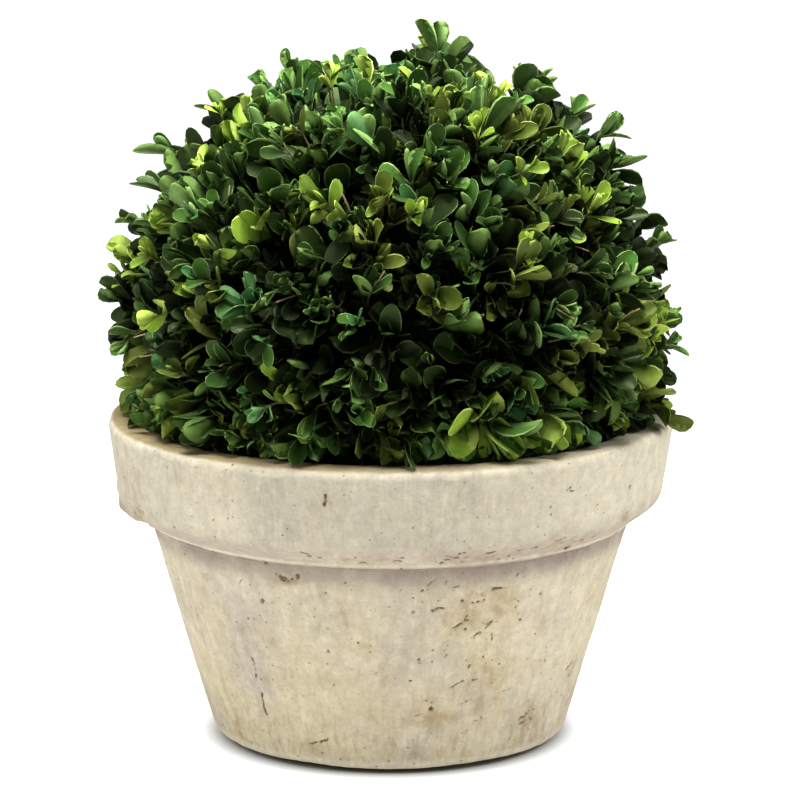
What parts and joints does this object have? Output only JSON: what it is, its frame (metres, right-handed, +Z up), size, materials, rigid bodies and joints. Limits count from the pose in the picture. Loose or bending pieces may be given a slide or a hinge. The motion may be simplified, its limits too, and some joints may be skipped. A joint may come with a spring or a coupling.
{
  "type": "box topiary ball in a clay pot",
  "caption": "Clipped ball of small glossy evergreen leaves filling a thick tapered clay pot with a deep collar.",
  "frame": {"origin": "on the ground under the middle of the pot's flat underside, within 2 mm of the middle of the object's box seen from above", "axes": "+Z up through the pot and the ball; -Y towards the viewer; +X to the viewer's right"},
  "size_m": [0.1958, 0.1901, 0.2393],
  "materials": {
    "clay": "matte",
    "potting_mix": "matte",
    "bark": "matte",
    "leaves": "satin"
  },
  "bodies": {
    "root": {"pot": "clay", "potting_mix": "potting_mix", "stem": "bark", "foliage_ball": "leaves"}
  },
  "joints": []
}
